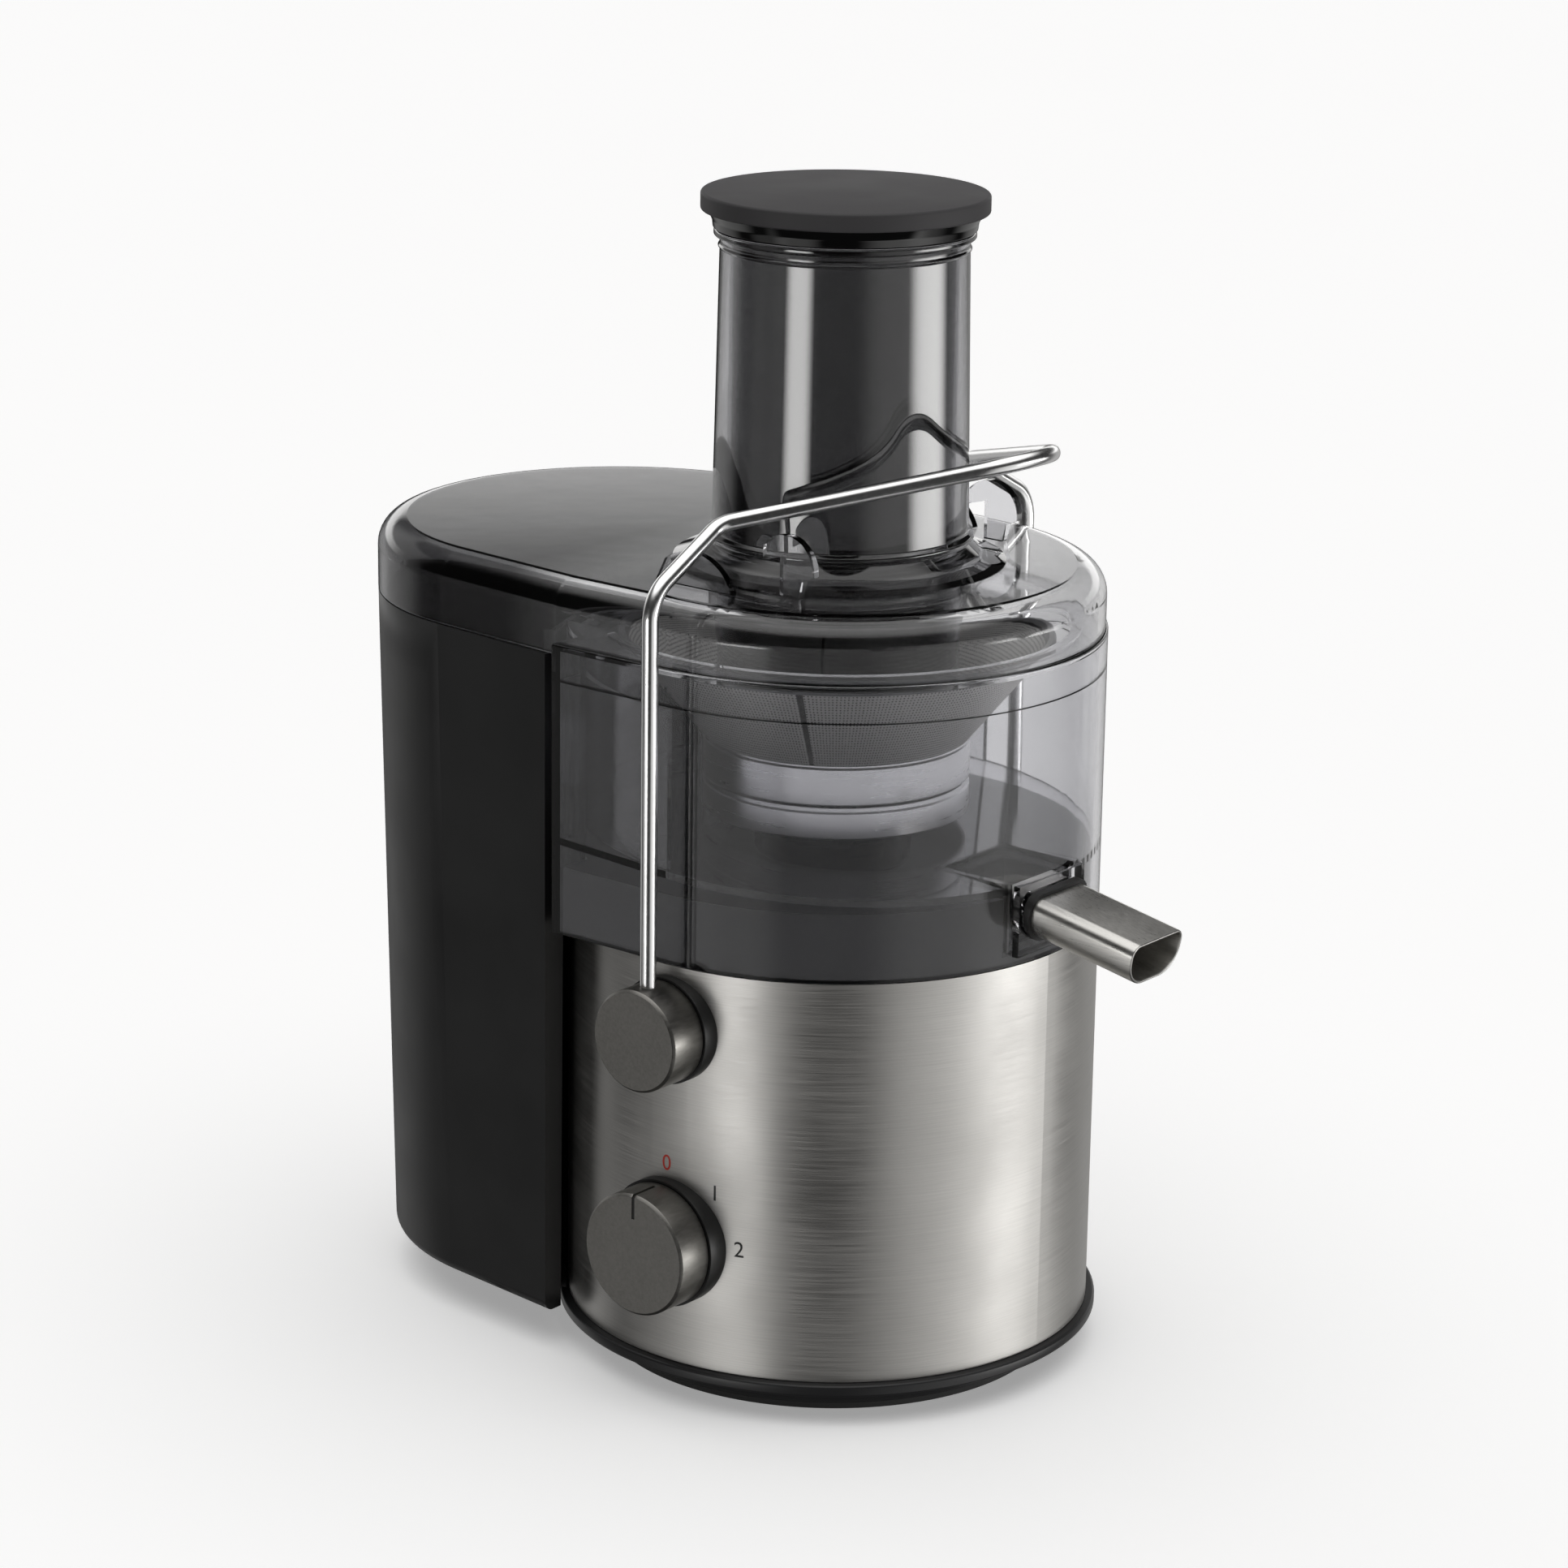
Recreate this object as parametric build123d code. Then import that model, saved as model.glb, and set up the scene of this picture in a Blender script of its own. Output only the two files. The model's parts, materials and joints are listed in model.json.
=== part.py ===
"""Centrifugal juicer with a side pulp container and a wire locking arm.

The origin is on the motor axis, on the surface that the juicer stands on.
+Z is up, +X points along the juice spout, -X to the pulp container and
-Y to the side with the speed dial. Lengths are in millimetres.
"""
import math
import os

from build123d import *

# Levels above the table
FOOT_T = 2.4
BASE_TOP = 14.6
SLEEVE_TOP = 153.0
DECK_TOP = 176.0
BOWL_FLOOR = 184.0
BOWL_TOP = 239.6
FLANGE_TOP = 252.0
LID_TOP = 273.0
TUBE_TOP = 383.0
CAP_TOP = 395.0

# Main body
BODY_R = 90.0
SLEEVE_T = 0.8
BASE_RING_R = 93.0
BASE_SKIRT_R = 82.6
HOUSING_R = 89.0
WALL = 2.5
EAR_X = -48.0
FLOOR_TILT = 2.7

# Lid and feed chute
RAISED_R = 89.2
LID_EDGE_R = 10.0
LID_HOLE_R = 78.0
LID_BEAD_R = 81.2
TUBE_R_TOP = 41.0
TUBE_R_FOOT = 43.0
TUBE_BORE_R = 38.2
TUBE_BOTTOM = 217.0
TUBE_WALL = 2.4
FLARE_R = 55.5
BEAD_Z = 281.6
CHUTE_HOLE_R = 51.5

# Pusher
CAP_R = 47.4
CAP_RIM_T = 6.0
PUSHER_R = 37.0
PUSHER_BOTTOM = 218.5

# Pulp container
BIN_RIM = 247.9
BIN_BOTTOM = 14.0
BIN_END_X = -95.0
BIN_END_R = 84.5
BIN_FRONT_X = -51.0
BIN_FRONT_Y = 90.0
BIN_DRAFT = 1.0
BIN_HOLLOW_R = 95.0

# Spout
SPOUT_W = 28.5
SPOUT_H = 15.0
SPOUT_T = 1.0
SPOUT_TOP_R = 4.0
SPOUT_LOW_R = 9.5
SPOUT_SLOPE = 10.8
SPOUT_TIP_X = 132.0
SPOUT_TIP_Z = 161.0
SPOUT_ROOT_X = 80.0

# Locking arm and the two controls
ARM_X = 3.5
ARM_Z = 131.5
ROD_R = 2.7
LEG_Y = 101.0
LEG_TOP = 278.0
BAIL_Y = 67.0
BAIL_Z = 296.0
BAIL_SLOPE = 0.29
BAIL_TIP_X = 80.5
BAIL_TIP_R = 24.0
HUB_R = 17.25
HUB_BACK_Y = 93.8
HUB_FACE_Y = 108.3
PIN_R = 5.0
DIAL_Z = 57.5
DIAL_R = 20.9
DIAL_BACK_Y = 94.4
DIAL_FACE_Y = 108.0

# Cam that presses the safety switch
CAM_R = 10.0
CAM_DROP = 2.0
CAM_GAP = 0.4
CAM_SWEEP = 95

# Cord gland in the rear wall
GLAND_X = 30.0
GLAND_Z = 30.0
GLAND_R = 6.2
CORD_R = 3.3

# Motor and drive
SHAFT_R = 4.0
STATOR_R = 46.0
STATOR_Z = (62.0, 104.0)
ROTOR_R = 25.0
MOUNT_R = 62.0
BASE_SCREW_R = 68.0
BOLT_R = 41.0

# Filter basket
DRUM_R = 45.0
CONE_BOTTOM = 213.5
CONE_TOP = 245.0
CONE_R = 70.5

UP = (Align.CENTER, Align.CENTER, Align.MIN)


def disc(r, z0, z1, x=0.0, y=0.0):
    """Upright cylinder between two levels."""
    return Pos(x, y, z0) * Cylinder(r, z1 - z0, align=UP)


def ring(r_out, r_in, z0, z1, x=0.0, y=0.0):
    """Upright ring between two levels."""
    return disc(r_out, z0, z1, x, y) - disc(r_in, z0 - 1, z1 + 1, x, y)


def bar_y(r, y0, y1, x=0.0, z=0.0):
    """Cylinder lying along Y between y0 and y1."""
    return Pos(x, (y0 + y1) / 2, z) * Rot(90, 0, 0) * Cylinder(r, abs(y1 - y0))


def block(x0, x1, y0, y1, z0, z1):
    """Box between two corners."""
    return Pos((x0 + x1) / 2, (y0 + y1) / 2, (z0 + z1) / 2) * Box(x1 - x0, y1 - y0, z1 - z0)


def turned(points):
    """Solid of revolution about Z from a closed outline of (radius, height) points."""
    outline = make_face(Polyline(*[(r, z) for r, z in points], close=True))
    return revolve(Plane.XZ * outline, axis=Axis.Z)


def spread(piece, count, start=0.0):
    """Copies of a piece turned evenly about Z."""
    return [Rot(0, 0, start + 360.0 * i / count) * piece for i in range(count)]


def save(name, *pieces):
    """Write one named sub-part; several pieces become separate solids of one file."""
    solids = [s for p in pieces for s in p.solids()]
    shape = solids[0] if len(solids) == 1 else Compound(children=solids)
    export_step(shape, f"parts/{name}.step")


def bowl_plan(inset=0.0):
    """Plan of the bowl: a circle with two square ears on the container side."""
    r = BODY_R - inset
    x0 = EAR_X + inset
    return Circle(r) + Pos(x0 / 2, 0) * Rectangle(-x0, 2 * r)


def bin_plan(inset=0.0, front_x=BIN_FRONT_X, front_y=BIN_FRONT_Y):
    """Plan of the pulp container: sides that run in to a round end."""
    end_r = BIN_END_R - inset
    side_y = front_y - inset
    reach = math.hypot(front_x - BIN_END_X, side_y)
    lean = math.atan2(side_y, front_x - BIN_END_X) - math.asin(end_r / reach)
    run = math.sqrt(reach**2 - end_r**2)
    tx = front_x - run * math.cos(lean)
    ty = side_y - run * math.sin(lean)
    return make_face([
        Line((front_x, -side_y), (front_x, side_y)),
        Line((front_x, side_y), (tx, ty)),
        ThreePointArc((tx, ty), (BIN_END_X - end_r, 0), (tx, -ty)),
        Line((tx, -ty), (front_x, -side_y)),
    ])


def raised_plan(inset):
    """Plan of the lid's raised part: round over the basket, with sides that run in over the container."""
    half = RAISED_R - inset
    return Circle(half) + Pos(EAR_X / 2, 0) * Rectangle(-EAR_X, 2 * half) + bin_plan(inset, EAR_X, RAISED_R)


def raised_block(inset, z0, z1):
    """Raised part of the lid with a rounded top edge."""
    shape = extrude(Pos(0, 0, z0) * raised_plan(inset), z1 - z0)
    return fillet(shape.faces().sort_by(Axis.Z)[-1].edges(), LID_EDGE_R - inset)


# ---- base and body -------------------------------------------------------

def base_plate():
    shell = turned([
        (0, FOOT_T), (78.5, FOOT_T), (BASE_SKIRT_R, 5.5), (84.5, 10.2), (BASE_RING_R - 0.8, 10.4),
        (BASE_RING_R, 11.2), (BASE_RING_R, 14.0), (BASE_RING_R - 0.6, BASE_TOP),
        (80.5, BASE_TOP), (79.5, 5.2), (0, 5.2),
    ])
    slot = block(34, 58, -1.6, 1.6, 0, 8)
    for s in spread(slot, 20, 9):
        shell -= s
    for s in spread(disc(5.2, 5.0, 9.5, BASE_SCREW_R), 4, 45):
        shell += s
    for s in spread(disc(2.2, 0, 12, BASE_SCREW_R) + disc(3.9, 0, 5.2, BASE_SCREW_R), 4, 45):
        shell -= s
    return shell


def base_screws():
    screw = disc(1.95, 5.0, 22, BASE_SCREW_R) + disc(3.6, 2.7, 5.0, BASE_SCREW_R)
    screw -= Pos(BASE_SCREW_R, 0, 2.7) * Box(4.4, 0.9, 1.6)
    screw -= Pos(BASE_SCREW_R, 0, 2.7) * Box(0.9, 4.4, 1.6)
    return spread(screw, 4, 45)


def foot_ring():
    return turned([(70.5, 0.5), (71, 0), (77.5, 0), (78, 0.5), (78, FOOT_T), (70.5, FOOT_T)])


def wall_bores(r_pivot, r_dial):
    """Cuts through the side walls for the arm pivots, the dial shaft and the cord gland."""
    return [
        bar_y(r_pivot, -70, -100, ARM_X, ARM_Z),
        bar_y(r_pivot, 70, 100, ARM_X, ARM_Z),
        bar_y(r_dial, -70, -100, ARM_X, DIAL_Z),
        bar_y(GLAND_R, 70, 100, GLAND_X, GLAND_Z),
    ]


def steel_sleeve():
    sleeve = ring(BODY_R, BODY_R - SLEEVE_T, BASE_TOP + 0.2, SLEEVE_TOP)
    for cut in wall_bores(7.2, 7.2):
        sleeve -= cut
    return sleeve


def sump_box(grow, z0):
    """The block under the bowl floor where the juice gathers before the spout."""
    return block(58.5 - grow, 100, -17 - grow, 17 + grow, z0, DECK_TOP + 6)


def motor_housing():
    body = ring(HOUSING_R, HOUSING_R - WALL, BASE_TOP + 0.2, SLEEVE_TOP)
    collar = extrude(Pos(0, 0, SLEEVE_TOP) * bowl_plan(3.2), DECK_TOP - SLEEVE_TOP)
    body += collar - disc(84.0, 150, DECK_TOP - WALL)
    pocket = sump_box(5.2, 153.5) & disc(HOUSING_R - 2.2, 150, DECK_TOP)
    body += pocket
    body -= sump_box(2.7, 156.0)
    body += disc(20, DECK_TOP - WALL, 180)
    body -= disc(12.2, 160, 190)
    for s in spread(disc(5, 138, DECK_TOP - WALL, MOUNT_R), 4, 45):
        body += s
    for s in spread(disc(2.0, 130, 150, MOUNT_R), 4, 45):
        body -= s
    boss = disc(4.6, 10, 40, BASE_SCREW_R) + block(70, 87.5, -1.5, 1.5, 15, 40)
    for s in spread(boss, 4, 45):
        body += s
    for s in spread(disc(2.0, 5, 30, BASE_SCREW_R), 4, 45):
        body -= s
    for cut in wall_bores(7.1, 6.2):
        body -= cut
    return body


def pivot_bushings():
    """Nylon bushes that carry the two arm pins."""
    bushes = []
    for side in (-1, 1):
        bush = bar_y(7.0, side * 78, side * 92.5, ARM_X, ARM_Z)
        bush += bar_y(9.5, side * 78, side * 81, ARM_X, ARM_Z)
        bushes.append(bush - bar_y(PIN_R + 0.05, side * 70, side * 99, ARM_X, ARM_Z))
    return bushes


def side_collar(side, r, face_y, bore, z):
    """Black ring that fills the gap between the round body and a flat knob."""
    outer = bar_y(r, side * 70, side * face_y, ARM_X, z)
    outer -= bar_y(bore, side * 60, side * 100, ARM_X, z)
    return outer - disc(BODY_R, 0, 200)


def cord_gland():
    """Bush in the rear wall that the mains cord would leave through."""
    gland = bar_y(GLAND_R - 0.2, 70, 94, GLAND_X, GLAND_Z)
    gland += bar_y(GLAND_R + 2.3, 88, 91, GLAND_X, GLAND_Z)
    gland += bar_y(GLAND_R + 1.4, 70, 75, GLAND_X, GLAND_Z)
    return gland - bar_y(CORD_R, 70, 100, GLAND_X, GLAND_Z)


# ---- motor ---------------------------------------------------------------

def bracket(z0, hub_z0, hub_z1, bore):
    """Round bearing bracket with four arms."""
    body = ring(STATOR_R - 2, 22, z0, z0 + 3) + ring(15, bore, hub_z0, hub_z1)
    for spoke in spread(block(13.5, 24, -4, 4, z0, z0 + 3), 4, 45):
        body += spoke
    return body


def upper_bracket():
    body = bracket(122, 119, 128, 11.0)
    for s in spread(block(42, MOUNT_R + 6, -6, 6, 122, 125), 4, 45):
        body += s
    for s in spread(disc(4.2, 115, 130, MOUNT_R), 4, 45):
        body -= s
    return body - ring(11.5, 5.2, 128, 129)


def motor_mounts():
    """Rubber grommets, each on a shouldered screw under a housing post."""
    mount = ring(7.5, 2.1, 125.2, 137.8, MOUNT_R) + ring(4.1, 2.1, 120, 125.3, MOUNT_R)
    mount += ring(7.5, 2.1, 118.5, 121.8, MOUNT_R)
    return spread(mount, 4, 45)


def mount_screws():
    screw = disc(1.9, 118.4, 149, MOUNT_R) + disc(5.0, 115.6, 118.4, MOUNT_R)
    return spread(screw, 4, 45)


def tie_bolts():
    """Long bolts that clamp the stator between the two brackets."""
    bolt = disc(1.8, 21, 128, BOLT_R) + disc(3.4, 125, 128.2, BOLT_R) + disc(3.4, 21, 24, BOLT_R)
    return [Rot(0, 0, a) * bolt for a in (0, 180)]


def lower_bracket():
    return bracket(24, 24, 33, 11.0)


def bolt_holes(body, z0, z1):
    for a in (0, 180):
        body -= Rot(0, 0, a) * disc(1.85, z0, z1, BOLT_R)
    return body


def bearing(z0):
    """Deep-groove bearing, 22 mm outside and 7 mm tall."""
    race = ring(11.0, SHAFT_R + 0.03, z0, z0 + 7)
    race -= ring(9.2, 6.3, z0 + 6.4, z0 + 8)
    return race - ring(9.2, 6.3, z0 - 1, z0 + 0.6)


def stator_core():
    z0, z1 = STATOR_Z
    core = ring(STATOR_R, ROTOR_R + 0.7, z0, z1)
    for side in (-1, 1):
        core -= block(-16, 16, side * 34 - 5, side * 34 + 5, z0 - 1, z1 + 1)
    return bolt_holes(core, z0 - 1, z1 + 1)


def field_windings():
    """Two copper coils that pass through the stator windows and loop over its ends."""
    coils = []
    for side in (-1, 1):
        coil = block(-15, 15, side * 34 - 4.5, side * 34 + 4.5, 54, 112)
        coils.append(fillet(coil.edges().filter_by(Axis.Y), 4))
    return coils


def brush_holders():
    holder = block(16, 38, -5, 5, 38, 48) - block(10, 36, -3.1, 3.1, 40, 46)
    holder += block(26, 34, -5, 5, 27.1, 38)
    return spread(holder, 2)


def carbon_brushes():
    return spread(block(13.4, 31, -3.0, 3.0, 40.1, 45.9), 2)


def motor_shaft():
    shaft = disc(SHAFT_R, 9, 186)
    return shaft - block(3.2, 6, -6, 6, 181, 190)


def rotor_core():
    z0, z1 = STATOR_Z
    core = ring(ROTOR_R, SHAFT_R, z0, z1)
    slot = block(20.5, 26, -0.9, 0.9, z0 - 1, z1 + 1) + disc(1.9, z0 - 1, z1 + 1, 19.5)
    for s in spread(slot, 12):
        core -= s
    return core


def armature_windings():
    """Wound copper ends above and below the rotor stack."""
    z0, z1 = STATOR_Z
    top = turned([(5, z1), (21, z1), (22, z1 + 3), (19, z1 + 8), (9, z1 + 9), (5, z1 + 7)])
    low = turned([(5, z0), (21, z0), (22, z0 - 3), (19, z0 - 8), (9, z0 - 8.5), (5, z0 - 7)])
    return [top, low]


def commutator():
    drum = ring(13, SHAFT_R, 37, 50) + ring(15, SHAFT_R, 50, 53)
    for s in spread(block(11.6, 14, -0.3, 0.3, 36, 50), 24):
        drum -= s
    return drum


def cooling_fan():
    fan = ring(8, SHAFT_R, 9, 20.5) + ring(36, 7, 9, 10.6)
    for s in spread(Pos(23, 0, 15) * Rot(0, 0, 18) * Box(26, 1.4, 9.5), 9):
        fan += s
    return fan


def drive_coupling():
    """Splined dog on the shaft that carries the filter basket."""
    dog = disc(11, 182.0, 197) - disc(SHAFT_R, 180, 186)
    for s in spread(block(9, 13, -1.7, 1.7, 185.5, 197), 6):
        dog += s
    lead = turned([(9.5, 197.2), (14, 194.5), (14, 198), (9.5, 198)])
    return dog + block(3.3, 5, -2, 2, 182.0, 186) - lead


def shaft_seal():
    """Rubber lip seal that keeps juice out of the motor."""
    return turned([(12.1, 173.5), (12.1, 180), (4.2, 180), (4.2, 178.6), (9, 178.6), (9, 173.5)])


# ---- controls ------------------------------------------------------------

def speed_switch():
    body = block(ARM_X - 15, ARM_X + 15, -74, -56, DIAL_Z - 15, DIAL_Z + 15)
    body += bar_y(8, -74, -80, ARM_X, DIAL_Z)
    for dx in (-9, -3, 3, 9):
        body += block(ARM_X + dx - 1.2, ARM_X + dx + 1.2, -60, -50, DIAL_Z - 14, DIAL_Z - 13.2)
    return body - bar_y(3.05, -62, -82, ARM_X, DIAL_Z)


def switch_bracket():
    """Pressed plate that holds the rotary switch on the housing wall."""
    plate = block(ARM_X - 24, ARM_X + 24, -75.6, -74, DIAL_Z - 12, DIAL_Z + 12)
    plate -= bar_y(8.1, -70, -82, ARM_X, DIAL_Z)
    for dx in (-22.5, 22.5):
        plate += block(ARM_X + dx - 1.5, ARM_X + dx + 1.5, -83.5, -75.6, DIAL_Z - 12, DIAL_Z + 12) & disc(
            HOUSING_R - WALL, 0, 150)
    return plate


def dial_shaft():
    shaft = bar_y(3.0, -62.5, -103.5, ARM_X, DIAL_Z)
    return shaft - block(ARM_X - 4, ARM_X + 4, -110, -96, DIAL_Z + 2, DIAL_Z + 4)


def speed_dial():
    cap = bar_y(DIAL_R, -DIAL_BACK_Y, -DIAL_FACE_Y, ARM_X, DIAL_Z)
    cap = chamfer(cap.faces().sort_by(Axis.Y)[0].edges(), 0.9)
    cap -= bar_y(18.3, -90, -104.5, ARM_X, DIAL_Z)
    stem = bar_y(6.0, -DIAL_BACK_Y - 0.6, -104.6, ARM_X, DIAL_Z)
    bore = bar_y(3.0, -90, -103.5, ARM_X, DIAL_Z)
    bore -= block(ARM_X - 4, ARM_X + 4, -110, -96, DIAL_Z + 2, DIAL_Z + 4)
    cap += stem - bore
    notch = block(ARM_X - 0.6, ARM_X + 0.6, -109, -107.2, DIAL_Z + 12.5, DIAL_Z + 22)
    notch += block(ARM_X - 0.6, ARM_X + 0.6, -109, -97, DIAL_Z + DIAL_R - 0.8, DIAL_Z + 22)
    return cap - notch


def dial_marker():
    """Inlay that fills the bottom of the dial's pointer groove."""
    return block(ARM_X - 0.6, ARM_X + 0.6, -107.7, -107.2, DIAL_Z + 12.5, DIAL_Z + DIAL_R - 0.8)


def interlock_switch():
    """Microswitch that the arm must press before the motor can start."""
    body = block(18, 34, -76.5, -70.5, 124, 137)
    return body - Pos(20, -73.5, ARM_Z) * Rot(0, 90, 0) * Cylinder(1.6, 8)


def interlock_button():
    tip_x = ARM_X + CAM_R + CAM_GAP
    pin = Pos((tip_x + 23) / 2, -73.5, ARM_Z) * Rot(0, 90, 0) * Cylinder(1.5, 23 - tip_x)
    return chamfer(pin.faces().sort_by(Axis.X)[0].edges(), 0.8)


def cam_outline():
    """Radius shrinks evenly over a quarter turn so that the button follows the arm."""
    def spot(deg):
        r = CAM_R - CAM_DROP * deg / 90
        return (r * math.cos(math.radians(deg)), r * math.sin(math.radians(deg)))
    low = CAM_R - CAM_DROP * CAM_SWEEP / 90
    spiral = Spline(*[spot(CAM_SWEEP * i / 4) for i in range(5)])
    lead = ThreePointArc(spot(0), (CAM_R * math.cos(-0.3), CAM_R * math.sin(-0.3)),
                         (CAM_R * math.cos(-0.6), CAM_R * math.sin(-0.6)))
    back = ThreePointArc(spot(CAM_SWEEP), (-low, 0), (-low * math.cos(0.9), -low * math.sin(0.9)))
    close = Line(back @ 1, lead @ 1)
    return make_face([spiral, lead, back, close])


def interlock_cam():
    plan = cam_outline() - Circle(3.0)
    cam = extrude(Plane.XZ.offset(75.5) * plan, -4)
    return Pos(ARM_X, 0, ARM_Z) * cam


def control_board():
    board = block(-32, 32, 66, 67.6, 62, 108)
    for x in (-28, 28):
        for z in (66, 104):
            board -= bar_y(1.6, 60, 70, x, z)
    return board


def board_posts():
    """Moulded brackets that carry the control board."""
    posts = []
    for x in (-28, 28):
        for z in (66, 104):
            post = bar_y(3.4, 67.6, 84, x, z) & disc(HOUSING_R - WALL, 0, 150)
            posts.append(post - bar_y(1.2, 60, 76, x, z))
    return posts


def board_parts():
    """Capacitor, relay, choke and connector on the control board."""
    can = bar_y(5.5, 54, 66, -18, 92)
    relay = block(-2, 16, 54, 66, 84, 98)
    choke = bar_y(7, 58, 66, 4, 72) - bar_y(3, 56, 66, 4, 72)
    plug = block(18, 30, 58, 66, 66, 74)
    return [can, relay, choke, plug]


# ---- bowl and spout ------------------------------------------------------

def floor_slab(depth):
    """Bowl floor, tilted so that the juice runs to the spout."""
    return Pos(0, 0, BOWL_FLOOR) * Rot(0, FLOOR_TILT, 0) * block(-120, 120, -100, 100, -depth, 0)


def juice_bowl():
    """Wall and skirt of the bowl with the flat pad round the spout, and the curved liner inside."""
    z0 = SLEEVE_TOP + 0.4
    height = BOWL_TOP - z0
    wall = extrude(Pos(0, 0, z0) * bowl_plan(), height)
    wall -= extrude(Pos(0, 0, z0 - 1) * bowl_plan(WALL), height + 2)
    wall += block(80, BODY_R + 0.6, -18, 18, 156.5, 180.5) - disc(BODY_R - WALL, 150, 200)
    wall -= spout_blank(0.0, 60, 94) + spout_blank(1.5, 89.6, 95)
    liner = ring(86.9, 84.9, BOWL_FLOOR - 4, BOWL_TOP - 1.5) & block(-100, 0, -100, 100, 150, 250)
    return [wall, liner - floor_slab(20)]


def bowl_floor():
    """Tilted floor with the collar round the drive and the sump before the spout."""
    inner = extrude(Pos(0, 0, SLEEVE_TOP) * bowl_plan(WALL), BOWL_TOP - SLEEVE_TOP)
    floor = floor_slab(WALL) & inner
    floor += sump_box(2.4, 158.0) & inner & block(0, 200, -50, 50, 150, BOWL_FLOOR - 3)
    floor -= sump_box(0, 160.6)
    floor += ring(26.5, 24, BOWL_FLOOR - 3.5, 196)
    return floor - disc(24, 170, 197)


def spout_section(grow):
    """Section of the spout: nearly flat on top, full and round below."""
    section = Rectangle(SPOUT_W + 2 * grow, SPOUT_H + 2 * grow)
    section = fillet(section.vertices().group_by(Axis.Y)[-1], SPOUT_TOP_R + grow)
    return fillet(section.vertices().group_by(Axis.Y)[0], SPOUT_LOW_R + grow)


def spout_blank(grow, x0, x1):
    """Flattened round bar along the spout's sloping line between two X stations."""
    slope = math.radians(SPOUT_SLOPE)
    run = (x1 - x0) / math.cos(slope)
    z0 = SPOUT_TIP_Z + (SPOUT_TIP_X - x0) * math.tan(slope)
    axis = Plane(origin=(x0, 0, z0), x_dir=(0, 1, 0), z_dir=(math.cos(slope), 0, -math.sin(slope)))
    return extrude(axis * spout_section(grow), run)


def spout():
    tube = spout_blank(0, SPOUT_ROOT_X, SPOUT_TIP_X)
    return tube - spout_blank(-SPOUT_T, SPOUT_ROOT_X - 5, SPOUT_TIP_X + 5)


def spout_seal():
    return spout_blank(1.5, 90.0, 92.6) - spout_blank(0, 85, 96)


# ---- lid and chute -------------------------------------------------------

def lid_cover():
    """Raised part of the lid, standing on the flange and reaching over the pulp container."""
    z_rim = BIN_RIM + 0.5
    raised = raised_block(0.0, z_rim, LID_TOP) - raised_block(WALL, z_rim - 2, LID_TOP - WALL)
    raised -= extrude(Pos(0, 0, z_rim - 2) * bowl_plan(), FLANGE_TOP - z_rim + 2)
    return raised - disc(CHUTE_HOLE_R, 260, 290)


def lid_flange():
    """Border of the lid that sits on the bowl, with a bead round the hole over the basket."""
    flange = extrude(Pos(0, 0, BOWL_TOP) * bowl_plan(), FLANGE_TOP - BOWL_TOP)
    flange = fillet(flange.faces().sort_by(Axis.Z)[-1].edges(), 0.8)
    flange -= extrude(Pos(0, 0, BOWL_TOP - 1) * bowl_plan(WALL), FLANGE_TOP - WALL - BOWL_TOP + 1)
    bead = ring(LID_BEAD_R, LID_HOLE_R, FLANGE_TOP - WALL, FLANGE_TOP + 1.2)
    flange += bead & block(-40, 100, -90, 90, 240, 260)
    flange -= disc(LID_HOLE_R, BOWL_TOP, LID_TOP)
    return flange - block(-100, EAR_X + 8, -62, 62, BOWL_TOP + 3, LID_TOP)


def front_lug(side):
    """Hooked rib beside the chute that the bail snaps over."""
    profile = make_face([
        Line((20, LID_TOP), (20, 286)),
        Line((20, 286), (13, 284)),
        Line((13, 284), (13, 289)),
        ThreePointArc((13, 289), (24, 293.2), (33.5, 281)),
        Line((33.5, 281), (29, 279)),
        Line((29, 279), (27.5, LID_TOP)),
        Line((27.5, LID_TOP), (20, LID_TOP)),
    ])
    rib = extrude(Plane.XZ * profile, 3.0)
    return Pos(0, side * 55 + 1.5, 0) * rib


def saddle_fin(side):
    """Low curved rib under the sloping part of the arm."""
    profile = make_face([
        Line((-24, LID_TOP), (-20, 281)),
        ThreePointArc((-20, 281), (-4, 284), (8, LID_TOP)),
        Line((8, LID_TOP), (-24, LID_TOP)),
    ])
    rib = extrude(Plane.XZ * profile, 2.6)
    return Pos(0, side * 65 + 1.3, 0) * rib


def feed_tube():
    """Straight chute with a lipped rim and a bead where it meets its flared foot."""
    barrel = turned([
        (TUBE_BORE_R, TUBE_BOTTOM), (40.4, TUBE_BOTTOM), (40.6, LID_TOP), (TUBE_R_FOOT, 281),
        (42.3, 306), (TUBE_R_TOP, 376.4), (TUBE_R_TOP + 0.6, 377.2), (TUBE_R_TOP, 378),
        (TUBE_R_TOP + 0.2, 380), (TUBE_R_TOP + 2, 380.8), (TUBE_R_TOP + 2, TUBE_TOP - 0.5),
        (TUBE_R_TOP + 1.5, TUBE_TOP), (TUBE_BORE_R + 0.5, TUBE_TOP), (TUBE_BORE_R, TUBE_TOP - 1),
    ])
    return barrel + Pos(0, 0, BEAD_Z) * Torus(TUBE_R_FOOT + 0.1, 1.3)


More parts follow.
